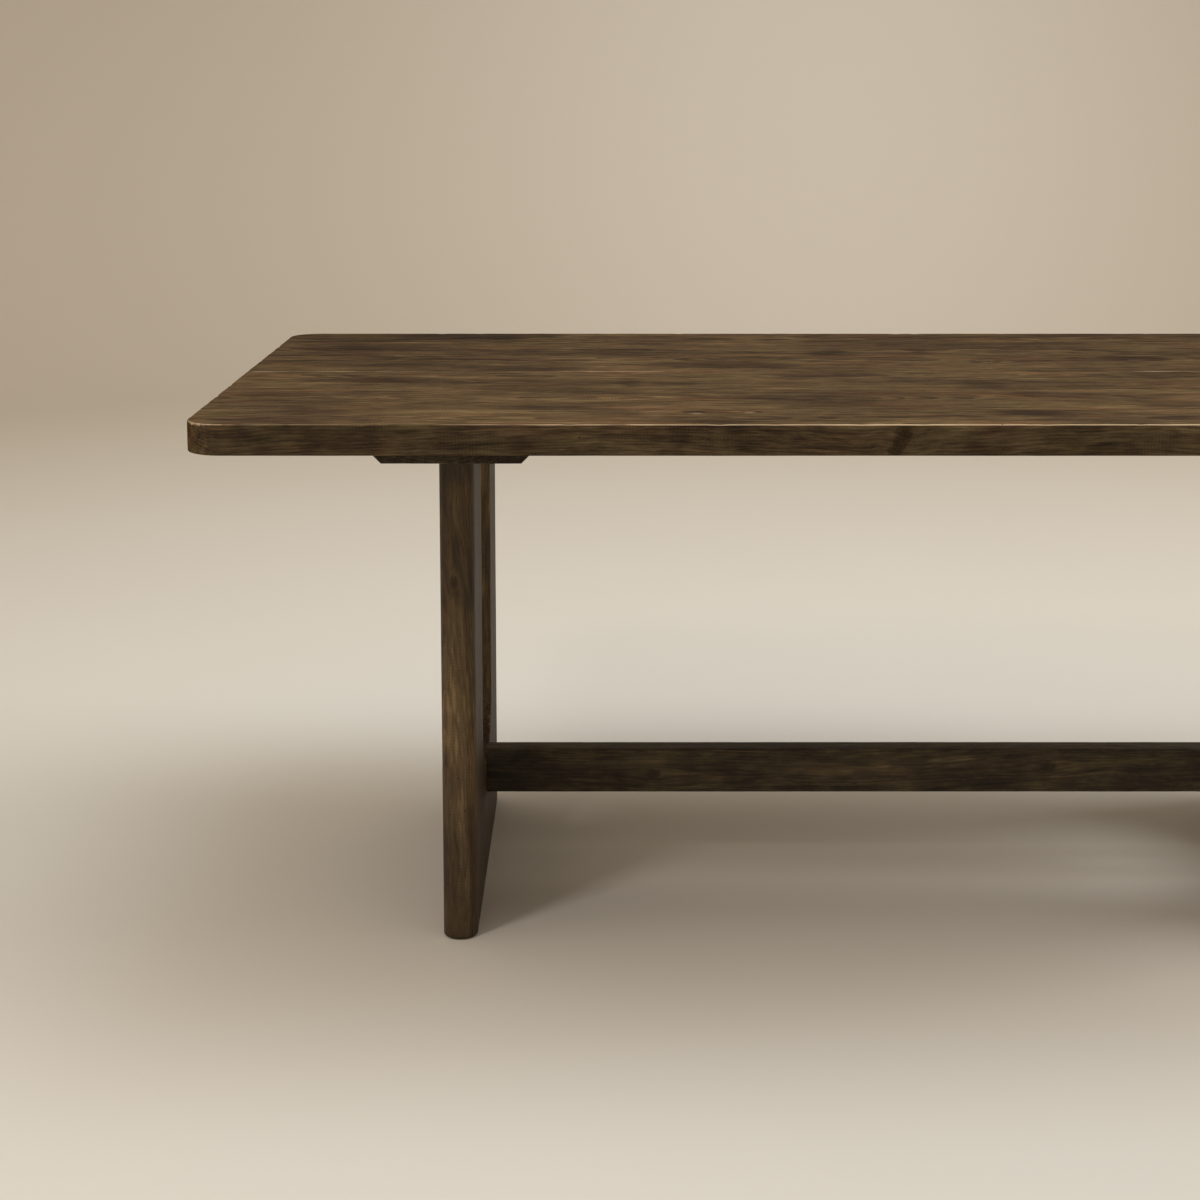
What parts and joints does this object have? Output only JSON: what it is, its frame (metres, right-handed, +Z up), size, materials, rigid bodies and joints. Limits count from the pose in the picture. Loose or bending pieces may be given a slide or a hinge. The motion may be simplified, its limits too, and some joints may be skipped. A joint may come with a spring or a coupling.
{
  "type": "trestle dining table",
  "caption": "Solid-wood trestle dining table: edge-glued top with rounded corners on slotted panel legs, tied by a low stretcher.",
  "frame": {"origin": "on the floor, under the middle of the top", "axes": "+X along the table, +Y across it towards its back, +Z up"},
  "size_m": [2, 1.016, 0.762],
  "materials": {
    "wood_top": "dark brown stain, low sheen",
    "wood_base": "dark brown stain, low sheen",
    "dowel_wood": "bare beech",
    "zinc_steel": "zinc plated",
    "glide_nylon": "moulded nylon"
  },
  "bodies": {
    "root": {"top_board_1": "wood_top", "top_board_2": "wood_top", "top_board_3": "wood_top", "top_board_4": "wood_top", "top_board_5": "wood_top", "top_board_6": "wood_top", "stretcher": "wood_base", "bearer_left": "wood_base", "leg_left_front_board": "wood_base", "leg_left_back_board": "wood_base", "leg_left_key_board": "wood_base", "bearer_right": "wood_base", "leg_right_front_board": "wood_base", "leg_right_back_board": "wood_base", "leg_right_key_board": "wood_base", "leg_dowels_left": "dowel_wood", "leg_dowels_right": "dowel_wood", "top_bolts_left": "zinc_steel", "top_bolt_washers_left": "zinc_steel", "top_inserts_left": "zinc_steel", "post_screws_left": "zinc_steel", "post_screw_washers_left": "zinc_steel", "stretcher_bolt_left": "zinc_steel", "stretcher_bolt_washer_left": "zinc_steel", "stretcher_cross_nut_left": "zinc_steel", "foot_glide_screws_left": "zinc_steel", "top_bolts_right": "zinc_steel", "top_bolt_washers_right": "zinc_steel", "top_inserts_right": "zinc_steel", "post_screws_right": "zinc_steel", "post_screw_washers_right": "zinc_steel", "stretcher_bolt_right": "zinc_steel", "stretcher_bolt_washer_right": "zinc_steel", "stretcher_cross_nut_right": "zinc_steel", "foot_glide_screws_right": "zinc_steel", "foot_glides_left": "glide_nylon", "foot_glides_right": "glide_nylon"}
  },
  "joints": []
}
